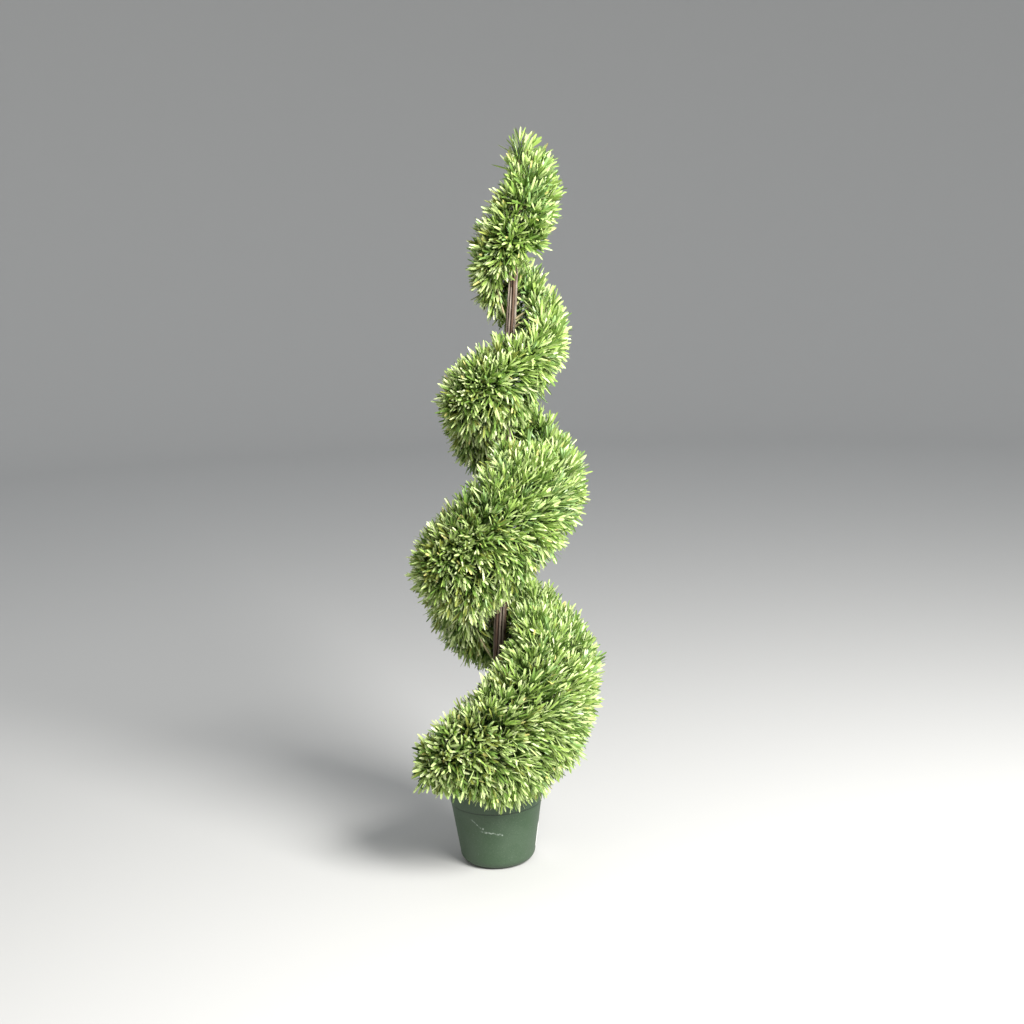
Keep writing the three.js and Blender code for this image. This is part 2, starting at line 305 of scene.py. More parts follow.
def rings(name):
    """Height, middle and radius of each ring of an upright rod, from its foot."""
    points = node_points(name)
    heights = np.round(points[:, 2], 4)
    levels = np.unique(heights)
    middles, radii = [], []
    for level in levels:
        ring = points[heights == level, :2]
        middle = (ring.min(0) + ring.max(0)) / 2
        middles.append(middle)
        radii.append(np.linalg.norm(ring - middle, axis=1).max())
    return levels, np.array(middles), np.array(radii)


@lru_cache(maxsize=1)
def trunk_line():
    """The trunk's line as two curves of height, and the bundle's radius at each ring."""
    heights, middles, core = rings("trunk_core")
    stick_heights, _, stick = rings(STICKS[0])
    outer = core + BUNDLE_REACH * np.interp(heights, stick_heights, stick)
    return np.polyfit(heights, middles[:, 0], 2), np.polyfit(heights, middles[:, 1], 2), heights, outer


def trunk_at(height):
    """The bundle's middle (xyz) and outer radius at heights; past the tip its line runs on."""
    curve_x, curve_y, heights, outer = trunk_line()
    height = np.asarray(height, float)
    middle = np.stack([np.polyval(curve_x, height), np.polyval(curve_y, height), height], -1)
    return middle, np.interp(height, heights, outer)


def from_trunk(points):
    """Level vectors from the trunk's line to points, their lengths, and the gaps to the bundle."""
    middle, bundle = trunk_at(points[:, 2])
    away = points - middle
    far = np.linalg.norm(away, axis=1)
    return away, far, far - bundle


def mass_solid(name):
    """Corners, triangles and search tree of a mass of foliage."""
    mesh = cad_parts[name].data
    mesh.calc_loop_triangles()
    corners = np.empty(len(mesh.loop_triangles) * 3, np.int32)
    mesh.loop_triangles.foreach_get("vertices", corners)
    points = node_points(name)
    corners = corners.reshape(-1, 3)
    return points, corners, BVHTree.FromPolygons(points.tolist(), corners.tolist())


# ---------------------------------------------------------------- growth


def scattered(solid, beside, spacing, taken, rng):
    """Points spread over a mass's outside, clear of those taken, its cut faces and its wall by the trunk."""
    points, corners, _ = solid
    a, b, c = points[corners[:, 0]], points[corners[:, 1]], points[corners[:, 2]]
    square = np.cross(b - a, c - a)
    area = np.linalg.norm(square, axis=1) / 2
    tries = int(TRIES * area.sum() / spacing**2)
    face = rng.choice(len(area), tries, p=area / area.sum())
    u, v = rng.random((2, tries))
    over = u + v > 1
    u[over], v[over] = 1 - u[over], 1 - v[over]
    spots = a[face] + u[:, None] * (b - a)[face] + v[:, None] * (c - a)[face]
    normals = unit(square)[face]
    away, _, gap = from_trunk(spots)
    inner = (gap < BARE_WALL) & (np.sum(away * normals, 1) < 0)
    kept = []
    for spot, normal in zip(spots[~inner], normals[~inner]):
        near = [tree.find_nearest(Vector(spot), BARE_JOINT)[0] for _, _, tree in beside]
        if any(found is not None for found in near):
            continue
        if taken and (np.sum((np.array(taken[-RECENT:]) - spot) ** 2, 1) < spacing**2).any():
            continue
        taken.append(spot)
        kept.append((spot, normal))
    return np.array([k[0] for k in kept]), np.array([k[1] for k in kept])


def section_middles(points, spots):
    """The middle of the band's section beside each spot."""
    away, reach, _ = from_trunk(points)
    turn = np.arctan2(away[:, 1], away[:, 0])
    spot_away = from_trunk(spots)[0]
    spot_turn = np.arctan2(spot_away[:, 1], spot_away[:, 0])
    apart = (turn[None] - spot_turn[:, None] + math.pi) % TURN - math.pi
    weight = np.exp(-((apart / 0.22) ** 2)) + 1e-9
    weight /= weight.sum(1, keepdims=True)
    far, high = weight @ reach, weight @ points[:, 2]
    middle, _ = trunk_at(high)
    return middle + polar(far, spot_turn, 0 * high)


def turned(vectors, by):
    """Vectors turned about the upright axis."""
    cos, sin = np.cos(by), np.sin(by)
    x, y, z = vectors[..., 0], vectors[..., 1], vectors[..., 2]
    return np.stack([cos * x - sin * y, sin * x + cos * y, z], -1)


def spray_directions(spots, normals, middles, look, rng):
    """Which way each spray points: out of the section and swept round the trunk; at the top, up and out."""
    outward = unit(spots - middles)
    swept = turned(outward, look.sweep * np.clip(1.2 * np.linalg.norm(outward[:, :2], axis=1), 0, 1))
    away = from_trunk(spots)[0]
    nose = np.clip((-np.sum(normals * unit(np.cross(UP, away)), 1, keepdims=True) - 0.35) / 0.4, 0, 1)
    fan = unit(away * look.fan + 0.03 * UP)
    high = np.clip((spots[:, 2:] - look.fan_start) / 0.16, 0, 1)
    tuft = np.stack([waves(spots * 75, 40 + i) for i in range(3)], -1)
    loose = rng.normal(size=spots.shape)
    way = swept * (1 - nose) + normals * nose + 0.08 * normals + look.lift * UP
    way = unit(way) * (1 - high) + fan * high
    return unit(way + look.tufts * tuft + look.looseness * loose)


def grouped(points, count, rng):
    """Number of the group each point falls in, when near points are put together."""
    heads = points[rng.choice(len(points), count, replace=False)]
    for _ in range(8):
        nearest = np.linalg.norm(points[:, None] - heads[None], axis=2).argmin(1)
        full = [nearest == i for i in range(count)]
        heads = np.array([points[f].mean(0) if f.any() else head for f, head in zip(full, heads)])
    return nearest, heads


def bezier(start, leave, arrive, end, steps):
    """Smooth paths (path, step, xyz) from four rows of points."""
    t = np.linspace(0, 1, steps)[None, :, None]
    start, leave, arrive, end = (p[:, None] for p in (start, leave, arrive, end))
    return (1 - t) ** 3 * start + 3 * (1 - t) ** 2 * t * leave + 3 * (1 - t) * t**2 * arrive + t**3 * end


def limbs_from_trunk(heads, sweep, rng):
    """Boughs that leave the trunk below the sprays they feed, and bend round towards them."""
    away, far, _ = from_trunk(heads)
    foot_height = heads[:, 2] - rng.uniform(0.25, 0.55, len(heads)) * far
    foot_height = np.clip(foot_height, trunk_line()[2][0] + 0.03, trunk_line()[2][-1] - 0.01)
    foot, bundle = trunk_at(foot_height)
    out = unit(turned(away, -sweep))
    start = foot + out * (0.8 * bundle[:, None])
    end = foot + 0.92 * (heads - foot)
    reach = np.linalg.norm(end - start, axis=1, keepdims=True)
    leave = start + unit(out + (0, 0, 0.7)) * reach * 0.4
    arrive = end - unit(heads - foot) * reach * 0.3
    return bezier(start, leave, arrive, end, 9)


def limb_on(name, head):
    """The bare limb that the solids hold, grown on towards a head inside its mass."""
    points = node_points(name)
    middle, _ = trunk_at(points[:, 2].min())
    far = points[np.linalg.norm(points[:, :2] - middle[:2], axis=1).argmax()]
    way = unit((far - middle) * (1, 1, 0))
    span = np.round((points - middle) @ way, 3)
    levels = [s for s in np.unique(span) if (span == s).sum() >= 6]
    centres = np.array([(points[span == s].min(0) + points[span == s].max(0)) / 2 for s in levels])
    foot = centres[0]
    bend = centres[len(centres) // 2]
    return bezier(foot[None], bend[None], (0.5 * bend + 0.5 * head)[None], head[None], 9)[0]


def beside_trunk(spots, rise):
    """How much a spray is one that hangs or stands beside the low trunk: most under the band."""
    near = np.exp(-((from_trunk(spots)[2] / 0.05) ** 2)) * np.clip(np.abs(rise) * 1.4 - 0.3, 0, 1)
    return near * (np.clip((1.05 - spots[:, 2]) / 0.12, 0.12, 1) * np.where(rise < 0, 1.8, 1.0))


@lru_cache(maxsize=1)
def growth():
    """Boughs, and the fork, tip, direction and mass of every spray, grown once."""
    look = bpy.context.scene.topiary_leaves
    rng = np.random.default_rng(SEED)
    solids = [mass_solid(name) for name in MASSES]
    taken, boughs, sprays = [], [], []
    for i, solid in enumerate(solids):
        beside = [solids[j] for j in (i - 1, i + 1) if 0 <= j < len(solids)]
        spots, normals = scattered(solid, beside, look.spacing, taken, rng)
        middles = section_middles(solid[0], spots)
        ways = spray_directions(spots, normals, middles, look, rng)
        depth = look.depth + look.ragged * rng.normal(size=len(spots)).clip(-1.8, 1.8)
        tips = spots - ways * (depth - look.by_trunk * beside_trunk(spots, normals[:, 2]))[:, None]
        roots = tips - ways * (0.75 * np.linalg.norm(tips - middles, axis=1, keepdims=True))
        group, heads = grouped(roots, max(4, round(len(spots) / 20)), rng)
        limbs = limbs_from_trunk(heads, look.sweep, rng)
        name = MASSES[i].replace("foliage", "bough")
        if name in BOUGHS:
            limbs = np.concatenate([limbs, limb_on(name, middles.mean(0))[None]])
        boughs.append(limbs)
        along = limbs[group]
        gap = np.linalg.norm(along - roots[:, None], axis=2)
        gap[:, :3] += 1
        step = gap.argmin(1)
        fork = along[np.arange(len(tips)), step]
        before = along[np.arange(len(tips)), step - 1]
        sprays.append((fork, unit(fork - before), tips, ways, np.full(len(tips), i)))
    parts = zip(("fork", "leaving", "tip", "way", "mass"), zip(*sprays))
    return {"boughs": np.concatenate(boughs), **{key: np.concatenate(part) for key, part in parts}}


def twig_paths(plan, steps):
    """The path of every twig, from its fork to its tip."""
    span = np.linalg.norm(plan["tip"] - plan["fork"], axis=1, keepdims=True)
    leave = plan["fork"] + unit(plan["leaving"] + 1.2 * plan["way"]) * span * 0.2
    arrive = plan["tip"] - plan["way"] * np.minimum(0.6 * span, 0.09)
    return bezier(plan["fork"], leave, arrive, plan["tip"], steps)


# ---------------------------------------------------------------- leaves

# A leaf's outline: share of its length, and half its width there as a share of its width
LEAF_ROWS = ((0.0, 0.26), (0.30, 0.42), (0.66, 0.50), (0.92, 0.34))
LEAF_POINTS, LEAF_QUADS, LEAF_TRIANGLES = 13, 6, 14
# Leaves in a ring, and degrees that they spread from the stem: the ring at the tip, and those below
TIP_RING, LOWER_RING = (7, 20), (4, 27)


def leaf_corners(count):
    """Faces of leaves: three pairs of quads, the row of each quad, and a blunt tip."""
    faces, rows = [], []
    for row in range(3):
        for side in range(2):
            a = 3 * row + side
            faces.append([a, a + 1, a + 4, a + 3])
            rows.append(row)
    base = LEAF_POINTS * np.arange(count)[:, None, None]
    quads = (base + np.array(faces)).reshape(-1, 4)
    tips = (base + np.array([[9, 10, 12], [10, 11, 12]])).reshape(-1, 3)
    return quads, np.tile(rows, count), tips


def leaf_points(leaves):
    """Points of every leaf, (leaf, point, xyz)."""
    rows = np.array(LEAF_ROWS)
    along = np.concatenate([np.repeat(rows[:, 0], 3), [1.0]])
    side = np.concatenate([(rows[:, 1:] * (-1, 0, 1)).ravel(), [0.0]])
    ridge = np.concatenate([np.tile([0.0, 1.0, 0.0], 4), [0.3]])
    size, wide = leaves["length"][:, None], leaves["width"][:, None]
    y = along * size
    bend = leaves["curl"][:, None] * size * along**2
    twist = leaves["twist"][:, None] * along
    across = side * wide
    x = across * np.cos(twist)
    z = across * np.sin(twist) - bend + ridge * wide * leaves["fold"][:, None]
    flank = np.cross(leaves["way"], leaves["up"])
    x = x + leaves["sway"][:, None] * size * along**2
    return (
        leaves["foot"][:, None]
        + y[..., None] * leaves["way"][:, None]
        + x[..., None] * flank[:, None]
        + z[..., None] * leaves["up"][:, None]
    )


def grow_leaves(plan, look):
    """Foot, direction, size and bend of every leaf on every spray."""
    rng = np.random.default_rng(SEED + 1)
    steps = 25
    paths = twig_paths(plan, steps)
    pieces = np.linalg.norm(np.diff(paths, axis=1), axis=2)
    left = np.concatenate([np.cumsum(pieces[:, ::-1], axis=1)[:, ::-1], np.zeros((len(paths), 1))], axis=1)
    phase = rng.uniform(0, TURN, len(paths))
    tip_x, tip_z = plan["tip"][:, 0], plan["tip"][:, 2]
    low_left = np.clip((look.low_end - tip_z) / 0.12, 0, 1) * np.clip(0.3 - tip_x / 0.09, 0, 1)
    found = []
    for whorl in range(look.whorls):
        back = whorl * look.whorl_pitch * rng.uniform(0.85, 1.15, len(paths))
        ok = np.nonzero(left[:, 0] > back + 0.004)[0]
        place = np.array([np.interp(back[i], left[i, ::-1], np.arange(steps)[::-1]) for i in ok])
        low = np.minimum(place.astype(int), steps - 2)
        part = (place - low)[:, None]
        foot = paths[ok, low] * (1 - part) + paths[ok, low + 1] * part
        stem = unit(paths[ok, low + 1] - paths[ok, low])
        count, slant = TIP_RING if whorl == 0 else LOWER_RING
        across = square_to(stem)
        other = np.cross(stem, across)
        for j in range(count):
            n = len(ok)
            keep = rng.random(n) < (0.95 if whorl < 3 else 0.80) - look.open_sprigs * low_left[ok]
            turn = phase[ok] + whorl * 0.9 + TURN * (j + rng.uniform(-0.22, 0.22, n)) / count
            spread = math.radians(slant) + rng.normal(0, 0.12, n) + 0.16 * low_left[ok]
            if whorl == 0 and j % 3 == 0:
                spread *= 0.45
            out = across * np.cos(turn)[:, None] + other * np.sin(turn)[:, None]
            way = unit(stem * np.cos(spread)[:, None] + out * np.sin(spread)[:, None])
            up = unit(stem - way * np.sum(stem * way, 1, keepdims=True))
            roll = rng.normal(0, 0.30, n)[:, None]
            up = up * np.cos(roll) + np.cross(way, up) * np.sin(roll)
            size = look.leaf_length * rng.uniform(0.78, 1.16, n) * (0.80 if whorl == 0 else 1.0)
            wide = look.leaf_width * rng.uniform(0.84, 1.18, n) * (1 + look.coarse * low_left[ok])
            grown = {
                "foot": foot,
                "way": way,
                "up": up,
                "length": size,
                "width": wide,
                "curl": rng.uniform(0.0, 0.17, n),
                "twist": rng.normal(0, 0.35, n),
                "fold": rng.uniform(0.05, 0.16, n),
                "sway": rng.normal(0, 0.05, n),
                "whorl": np.full(n, whorl),
                "spray": ok,
            }
            found.append({key: value[keep] for key, value in grown.items()})
    leaves = {key: np.concatenate([f[key] for f in found]) for key in found[0]}
    clear = clear_of_wood(leaves, look.stray)
    return {key: value[clear] for key, value in leaves.items()}


def clear_of_wood(leaves, stray):
    """Which leaves keep off the trunk and the pot, and near the box of the solids."""
    pot = bpy.context.scene.topiary_pot
    mouth = pot.rim_radius - pot.wall - CLEAR
    fill_top = FILL_BOX[1].z
    tips = leaves["foot"] + leaves["way"] * leaves["length"][:, None]
    clear = ((tips > np.array(CAD_BOX[0]) - stray) & (tips < np.array(CAD_BOX[1]) + stray)).all(1)
    for part in (0.1, 0.55, 1.0):
        points = leaves["foot"] + leaves["way"] * (part * leaves["length"])[:, None]
        far, height = np.linalg.norm(points[:, :2], axis=1), points[:, 2]
        in_lip = (far > mouth) & (far < pot.rim_radius + 0.003) & (height < pot.height + 0.002)
        in_fill = (far <= mouth) & (height < fill_top + 0.006)
        clear &= (from_trunk(points)[2] > CLEAR) & ~in_lip & ~in_fill & (height > fill_top - 0.02)
    return clear


TINTS = ("fresh", "middling", "olive", "cool_sheen", "deep_shade", "pale", "cream_and_sheen", "straw")


def deal_tints(plan, leaves):
    """The tint of each leaf's foot, middle and tip: by spray, then by how far out the leaf is; painted light
    and shade by side, on inner leaves and at the feet.
    """
    rng = np.random.default_rng(SEED + 2)
    tips = plan["tip"]
    # Painted light and shade by side: sprays on the lit right get more fresh and bluer sheen green, those on
    # the left more olive.
    right = np.clip((tips[:, 0] - 0.02) / 0.16 + 0.5 + 0.25 * waves(tips * 30, 7), 0, 1)
    fresh, middling = 0.34 + 0.30 * right, np.full(len(tips), 0.14)
    olive, cool_sheen = 0.46 * (1 - right), 0.06 + 0.16 * right
    odds = np.stack([fresh, middling, olive, cool_sheen], -1)
    odds = np.cumsum(odds / odds.sum(1, keepdims=True), axis=1)
    body = (rng.random(len(tips))[:, None] > odds).sum(1)[leaves["spray"]]
    left = 1 - right[leaves["spray"]]
    low = np.clip((0.48 - tips[:, 2]) / 0.2, 0, 1)[leaves["spray"]]
    inner = leaves["whorl"] >= 3

    def some(tint, which, others):
        """The leaves' tints, with this one where it is called for."""
        return np.where(which, TINTS.index(tint), others)

    luck = rng.random(len(body))
    body = some("middling", luck < 0.22, body)
    # Pale and creamy bodies: the leaves' own lighter greens, made whiter as painted sheen.
    body = some("pale", (luck > 0.74 - 0.04 * left - 0.12 * low) & ~inner, body)
    body = some("cream_and_sheen", (luck > 0.975) & ~inner, body)
    # Painted shade: inner leaves, most on the left, take the dark shade green.
    body = some("deep_shade", inner & (rng.random(len(body)) < 0.45 + 0.40 * left), body)
    luck = rng.random(len(body))
    # Painted shade: the leaves' feet darker, most on the left.
    foot = some("middling", luck < 0.45, body)
    foot = some("deep_shade", inner | (luck > 0.86 - 0.56 * left), foot)
    luck = rng.random(len(body))
    # Pale and creamy tips: the leaves' own lighter tips, made whiter as painted sheen.
    tip = some("pale", (luck < 0.22 + 0.20 * left + 0.10 * low) & ~inner, body)
    tip = some("cream_and_sheen", (luck < 0.04 + 0.13 * left) & ~inner, tip)
    tip = some("straw", luck > 0.98, tip)
    return foot, body, tip


# ---------------------------------------------------------------- finishes


class Finish:
    """A material, and the nodes that work out its colour, gloss and relief."""

    def __init__(self, name, roughness, specular):
        self.material = bpy.data.materials.new(name)
        self.material.use_nodes = True
        self.tree = self.material.node_tree
        self.inputs = self.tree.nodes["Principled BSDF"].inputs
        self.inputs["Roughness"].default_value = roughness
        self.inputs["Specular IOR Level"].default_value = specular

    def add(self, kind, inputs=None, **settings):
        """Adds a node. inputs holds a value or another node's socket for each of its sockets."""
        node = self.tree.nodes.new(kind)
        for name, value in settings.items():
            setattr(node, name, value)
        for key, value in (inputs or {}).items():
            if isinstance(value, bpy.types.NodeSocket):
                self.tree.links.new(value, node.inputs[key])
            else:
                node.inputs[key].default_value = value
        return node

    def place(self):
        """The place on the plant, in metres."""
        return self.add("ShaderNodeTexCoord").outputs["Object"]

    def noise(self, scale, detail, stretch=(1, 1, 1)):
        """A noise pattern's value, stretched along the axes."""
        mapping = self.add("ShaderNodeMapping", {"Vector": self.place(), "Scale": stretch})
        inputs = {"Vector": mapping.outputs["Vector"], "Scale": scale, "Detail": detail}
        return self.add("ShaderNodeTexNoise", inputs).outputs["Fac"]

    def ramp(self, value, low, high, first=0, last=1):
        """A grey that runs from first to last as the value runs from low to high."""
        made = self.add("ShaderNodeValToRGB", {"Fac": value})
        for stop, at, grey in zip(made.color_ramp.elements, (low, high), (first, last)):
            stop.position = at
            stop.color = (grey, grey, grey, 1)
        return made.outputs["Color"]

    def sum(self, operation, first, second=0.0, clamp=False):
        """One sum."""
        values = {0: first, 1: second}
        return self.add("ShaderNodeMath", values, operation=operation, use_clamp=clamp).outputs[0]

    def plus(self, first, second):
        """Two values added."""
        return self.sum("ADD", first, second)

    def minus(self, first, second):
        """The second value taken from the first."""
        return self.sum("SUBTRACT", first, second)

    def times(self, first, second):
        """Two values multiplied."""
        return self.sum("MULTIPLY", first, second)

    def mix(self, factor, first, second):
        """A mix of two colours, each a tone or a socket."""
        first, second = (c if isinstance(c, bpy.types.NodeSocket) else (*c, 1) for c in (first, second))
        return self.add("ShaderNodeMix", {0: factor, 6: first, 7: second}, data_type="RGBA").outputs[2]

    def coloured(self, colour):
        """Joins a colour to the shader."""
        self.tree.links.new(colour, self.inputs["Base Color"])

    def rough(self, value, low, high):
        """Makes the roughness follow a value."""
        made = self.add("ShaderNodeMapRange", {"Value": value, "To Min": low, "To Max": high})
        self.tree.links.new(made.outputs["Result"], self.inputs["Roughness"])

    def bumped(self, height, strength, distance):
        """Joins a height to the shader's normal."""
        made = self.add("ShaderNodeBump", {"Height": height, "Strength": strength, "Distance": distance})
        self.tree.links.new(made.outputs["Normal"], self.inputs["Normal"])


def plain_finish(name, tone, roughness, specular):
    """A plain base colour, for pieces of many thousand leaves."""
    plain = Finish(name, roughness, specular)
    plain.inputs["Base Color"].default_value = plain.material.diffuse_color = (*tone, 1)
    return plain.material


# Strokes of the scrape on the pot's front: left end, run, height there, slope and half width
SCRAPE = (
    (-0.054, 0.017, 0.116, -0.95, 0.0024),
    (-0.036, 0.008, 0.0975, -0.10, 0.0030),
    (-0.033, 0.044, 0.0905, -0.20, 0.0023),
)


def scrape_mask(pot, axes):
    """Where the scrape shows: near sloping lines on the front, broken by noise."""
    wander = pot.times(pot.minus(pot.noise(70, 2), 0.5), 0.010)
    front = pot.sum("LESS_THAN", axes["Y"], 0.0)
    shown = 0.0
    for left, run, height, slope, width in SCRAPE:
        along = pot.minus(axes["X"], left)
        line = pot.plus(pot.plus(pot.times(along, slope), height), wander)
        off = pot.sum("ABSOLUTE", pot.minus(axes["Z"], line))
        near = pot.sum("SUBTRACT", 1.0, pot.sum("DIVIDE", off, width), True)
        within = pot.times(pot.sum("GREATER_THAN", along, 0.0), pot.sum("LESS_THAN", along, run))
        shown = pot.sum("ADD", shown, pot.times(near, within), True)
    return pot.times(pot.times(shown, front), pot.ramp(pot.noise(190, 3), 0.38, 0.56))


def pot_finish(look):
    """Matt moulded plastic, rubbed and dusty, with a long scrape on the front and painted shade in the recess
    under the collar.
    """
    pot = Finish("pot_plastic_worn", 0.5, 0.42)
    axes = pot.add("ShaderNodeSeparateXYZ", {"Vector": pot.place()}).outputs
    cloud = pot.noise(14, 4)
    worn = pot.plus(pot.times(cloud, 0.7), pot.times(pot.noise(260, 3), 0.3))
    tone = pot.mix(pot.ramp(worn, 0.40, 0.62), look.plastic, look.plastic_worn)
    scrape = scrape_mask(pot, axes)
    tone = pot.mix(scrape, tone, look.scratch)
    # Painted shade: a dark band laid round the recess under the collar.
    from_groove = pot.sum("ABSOLUTE", pot.minus(axes["Z"], look.height - look.collar - 0.0006))
    groove_shade = pot.ramp(pot.sum("DIVIDE", from_groove, look.groove_shade_height), 0.35, 1.0, 1, 0)
    tone = pot.mix(pot.times(groove_shade, 0.75), tone, look.groove_shade)
    specks = pot.ramp(pot.noise(420, 2), 0.62, 0.74)
    tone = pot.mix(pot.times(specks, 0.16), tone, look.scratch)
    dust = pot.times(pot.ramp(axes["Z"], 0.0, 0.03, 1, 0), cloud)
    pot.coloured(pot.mix(pot.times(dust, 0.4), tone, look.plastic_worn))
    pot.rough(cloud, 0.40, 0.60)
    pot.bumped(pot.minus(pot.noise(1500, 2), pot.times(scrape, 0.8)), 0.16, 0.0004)
    return pot.material


def fill_finish(look):
    """Set fill with grit and pores."""
    fill = Finish("set_fill_grit", 0.92, 0.3)
    dark, pale = (tuple(part * c for c in look.fill) for part in (0.45, 2.0))
    tone = fill.mix(fill.ramp(fill.noise(90, 6), 0.35, 0.62), dark, look.fill)
    grit = fill.ramp(fill.noise(700, 2), 0.60, 0.70)
    fill.coloured(fill.mix(fill.times(grit, 0.5), tone, pale))
    fill.bumped(fill.noise(380, 6), 0.7, 0.0012)
    return fill.material


def paper_finish(look):
    """Coated label paper, a little grubby."""
    paper = Finish("label_paper_coated", 0.48, 0.5)
    grubby = tuple(0.80 * c for c in look.paper)
    paper.coloured(paper.mix(paper.ramp(paper.noise(55, 5), 0.52, 0.75), look.paper, grubby))
    paper.bumped(paper.noise(900, 3), 0.12, 0.0003)
    return paper.material


def bark_finish(name, groove_shade, bark, ridge, scale, depth):
    """Dry bark with streaks along the stick, painted shade in its grooves and painted highlight on its
    ridges.
    """
    stick = Finish(name, 0.72, 0.4)
    streaks = stick.noise(scale, 5, (1, 1, 0.05))
    patches = stick.noise(40, 4, (1, 1, 0.35))
    # Painted shade: the darkest colour on the low streaks, where the bump sinks.
    tone = stick.mix(stick.ramp(streaks, 0.30, 0.44), groove_shade, bark)
    # Painted highlight: the pale colour on the high streaks, broken into patches.
    high = stick.times(stick.ramp(streaks, 0.50, 0.66), stick.ramp(patches, 0.30, 0.62))
    stick.coloured(stick.mix(high, tone, ridge))
    stick.rough(streaks, 0.88, 0.58)
    stick.bumped(streaks, 0.6, depth)
    return stick.material


def bough_finish(look):
    """Moulded stem, tan with green patches."""
    stem = Finish("bough_stem", 0.62, 0.4)
    patch = stem.ramp(stem.noise(45, 3), 0.42, 0.60)
    stem.coloured(stem.mix(patch, look.bough_bark, look.bough_green))
    stem.bumped(stem.noise(500, 3), 0.3, 0.0005)
    return stem.material


# ---------------------------------------------------------------- operators


class TOPIARY_OT_stage(bpy.types.Operator):
    """Sets the floor, the lamps and the camera"""

    bl_idname = "topiary.stage"
    bl_label = "Stage"

    def execute(self, context):
        look = context.scene.topiary_stage
        edge, bend = look.floor_width / 2, look.floor_bend
        outline = [(0.01, 0), (0.5, 0), (2, 0), (4, 0), (edge - bend, 0)]
        outline += arc(edge - bend, bend, bend, -90, 0, 24) + [(edge, 1.5 * bend)]
        points, faces = lathe(outline, 128)
        upward = [face[:, ::-1] for face in faces[:2]]
        finish = plain_finish("floor_pale", look.floor, 0.9, 0.2)
        floor = add_mesh("floor", points - look.floor_gap * UP, upward, [finish])
        self.lamp(context, "key", look.key_power, 1.5, (1.0, 0.985, 0.96), look.key_place)
        self.lamp(context, "fill", look.fill_power, 1.8, (1.0, 0.90, 0.74), look.fill_place)
        world = context.scene.world = bpy.data.worlds.new("studio")
        world.use_nodes = True
        sky = world.node_tree.nodes["Background"].inputs
        sky["Color"].default_value = (0.93, 0.96, 1.0, 1)
        sky["Strength"].default_value = look.sky
        context.scene.view_settings.view_transform = "Standard"
        self.camera(context, look)
        return {"FINISHED"}

    def lamp(self, context, name, watts, size, tone, place):
        """An area lamp that points at the plant's middle."""
        data = bpy.data.lights.new(name, "AREA")
        data.energy, data.size, data.color = watts, size, tone
        lamp = bpy.data.objects.new(name, data)
        lamp.location = place
        lamp.rotation_euler = (Vector((0.03, 0, 0.75)) - lamp.location).to_track_quat("-Z", "Y").to_euler()
        context.scene.collection.objects.link(lamp)

    def camera(self, context, look):
        """The camera at its place, turned, tipped and rolled."""
        turns = ((-look.yaw, "Z"), (math.pi / 2 - look.pitch, "X"), (look.roll, "Z"))
        yaw, pitch, roll = (Matrix.Rotation(by, 4, axis) for by, axis in turns)
        data = bpy.data.cameras.new("camera")
        data.sensor_width, data.lens, data.clip_end = 36, look.lens, 200
        camera = context.scene.camera = bpy.data.objects.new("camera", data)
        camera.matrix_world = Matrix.Translation(look.stand) @ yaw @ pitch @ roll
        context.scene.collection.objects.link(camera)


def lathe(outline, segments):
    """Points of an outline (radius, height) turned about the upright axis; faces round it and at its ends."""
    turn = TURN * np.arange(segments) / segments
    radius, height = np.array(outline).T[:, :, None]
    points = polar(radius, turn, height).reshape(-1, 3)
    index = np.arange(len(points)).reshape(len(outline), segments)
    return points, [skin(index).reshape(-1, 4), index[:1, ::-1], index[-1:]]


def arc(radius, height, size, start, end, steps):
    """Points of an arc in an outline."""
    turn = np.radians(np.linspace(start, end, steps))
    return [(radius + size * math.cos(t), height + size * math.sin(t)) for t in turn]


def pot_lines(look):
    """Height of the collar's foot, and radius of the flat underside."""
    return look.height - look.collar, look.foot_radius - look.foot_round


def wall_radius(look, height):
    """Outer radius of the pot's tapered wall."""
    part = (height - look.foot_round) / (look.height - look.collar - look.foot_round)
    return look.foot_radius + part * (look.rim_radius - look.collar_step - look.foot_radius)


class TOPIARY_OT_pot(bpy.types.Operator):
    """Turns the nursery pot: flat underside, rounded foot, tapered wall, grooved collar and lip"""

    bl_idname = "topiary.pot"
    bl_label = "Pot"

    def execute(self, context):
        look = context.scene.topiary_pot
        collar_foot, underside = pot_lines(look)
        top, rim, wall = look.height, look.rim_radius, look.wall
        waist = wall_radius(look, collar_foot)
        outline = [(0.004, 0.0008), (0.012, 0), (0.030, 0), (underside - 0.002, 0)]
        outline += arc(underside, look.foot_round, look.foot_round, -90, 0, 13)
        outline += [(wall_radius(look, h), h) for h in np.linspace(0.03, collar_foot - 0.0022, 12)]
        outline += [(waist - 0.0006, collar_foot - 0.0012), (waist - 0.0004, collar_foot + 0.0002)]
        outline += arc(rim - 0.0016, collar_foot + 0.0012, 0.0010, -90, 0, 5)
        outline += [(rim - 0.0005, h) for h in np.linspace(collar_foot + 0.004, top - 0.004, 6)]
        outline += arc(rim - 0.0014, top - 0.0014, 0.0014, 0, 90, 6)
        outline += arc(rim - wall + 0.0010, top - 0.0010, 0.0010, 90, 180, 4)
        outline += [(rim - wall - 0.0003, collar_foot + 0.003)]
        outline += [(rim - wall - look.collar_step, collar_foot - 0.001)]
        outline += [(wall_radius(look, h) - wall, h) for h in np.linspace(collar_foot - 0.01, 0.03, 6)]
        outline += arc(underside, look.foot_round, look.foot_round - wall, 0, -90, 7)
        outline += [(0.004, wall)]
        pot = add_mesh("pot_shell", *lathe(outline, 160), [pot_finish(look)])
        stand_for(pot, "pot_plastic", "pot")
        return {"FINISHED"}


